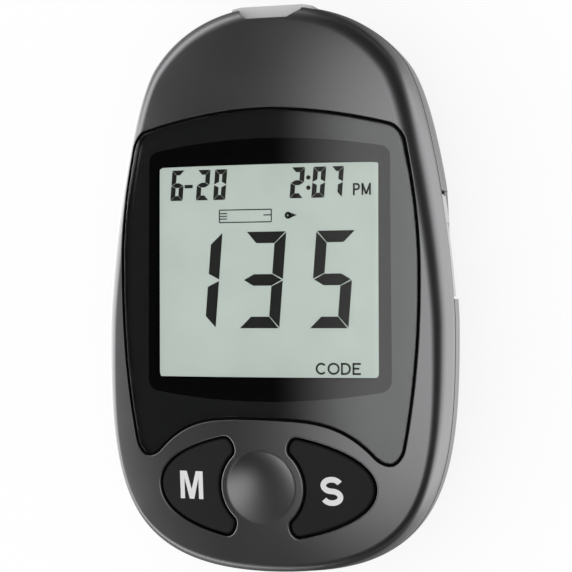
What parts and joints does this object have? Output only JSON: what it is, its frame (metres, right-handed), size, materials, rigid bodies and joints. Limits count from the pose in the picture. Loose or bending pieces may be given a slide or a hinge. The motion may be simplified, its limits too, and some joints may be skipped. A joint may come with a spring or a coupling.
{
  "type": "blood glucose meter",
  "caption": "Hand-held blood glucose meter with a domed face, a large window over a liquid crystal display, two curved keys and a test strip port in its upper end.",
  "frame": {"origin": "under the middle of the body, on the flat of the back that it rests on", "axes": "+Z out of the display, +Y towards the test strip port, +X to the right as the display is read"},
  "size_m": [0.054, 0.085, 0.0205],
  "materials": {
    "graphite_shell": "dark grey satin paint with a metallic look",
    "smoked_window": "clear polished sheet with a black printed mask behind",
    "tape_white": "double-sided foam tape",
    "display_glass": "polished glass with a pale grey-green tint",
    "inner_white": "moulded, matt",
    "rubber_grey": "layered conductive rubber",
    "key_black": "fine matt",
    "spring_steel": "bright sheet metal",
    "board_green": "solder resist over glass fibre",
    "inner_black": "moulded, matt",
    "port_grey": "moulded, satin",
    "gold_plate": "thin gold plate",
    "cell_can": "bright drawn can",
    "screw_steel": "plated"
  },
  "bodies": {
    "housing": {"front_housing": "graphite_shell", "back_housing": "graphite_shell", "window_lens": "smoked_window", "window_tape": "tape_white", "lcd_front_glass": "display_glass", "lcd_rear_glass": "display_glass", "lcd_reflector": "inner_white", "lcd_frame": "inner_white", "zebra_strip_upper": "rubber_grey", "zebra_strip_lower": "rubber_grey", "m_dome": "spring_steel", "s_dome": "spring_steel", "main_board": "board_green", "microcontroller": "inner_black", "memory_chip": "inner_black", "clock_crystal": "spring_steel", "buzzer": "inner_black", "strip_port": "port_grey", "strip_connector": "inner_black", "strip_contact_1": "gold_plate", "strip_contact_2": "gold_plate", "strip_contact_3": "gold_plate", "code_chip_socket": "inner_black", "coin_cell": "cell_can", "battery_contact_negative": "spring_steel", "battery_contact_positive": "spring_steel", "data_jack": "inner_black", "housing_screw_1": "screw_steel", "housing_screw_2": "screw_steel", "housing_screw_3": "screw_steel", "housing_screw_4": "screw_steel", "board_screw_1": "screw_steel", "board_screw_2": "screw_steel", "board_screw_3": "screw_steel"},
    "m_key": {"m_button": "key_black"},
    "s_key": {"s_button": "key_black"},
    "ejector": {"strip_ejector": "key_black"},
    "code_key": {"code_chip": "inner_white"},
    "cover": {"battery_cover": "graphite_shell"}
  },
  "joints": [
    {"name": "m_key_press", "type": "slide", "parent": "housing", "child": "m_key", "axis": [0, 0, -1], "range_m": [0, 0.0004], "stiffness_N_per_m": 500, "springref_m": -0.0002, "deforming": ["m_dome"]},
    {"name": "s_key_press", "type": "slide", "parent": "housing", "child": "s_key", "axis": [0, 0, -1], "range_m": [0, 0.0004], "stiffness_N_per_m": 500, "springref_m": -0.0002, "deforming": ["s_dome"]},
    {"name": "ejector_slide", "type": "slide", "parent": "housing", "child": "ejector", "axis": [0, 1, 0], "range_m": [0, 0.006]},
    {"name": "code_chip_slide", "type": "slide", "parent": "housing", "child": "code_key", "axis": [1, 0, 0], "range_m": [0, 0.012]},
    {"name": "battery_cover_hinge", "type": "hinge", "parent": "housing", "child": "cover", "pos_m": [0, -0.027, 0], "axis": [-1, 0, 0], "range_deg": [0, 75]}
  ]
}
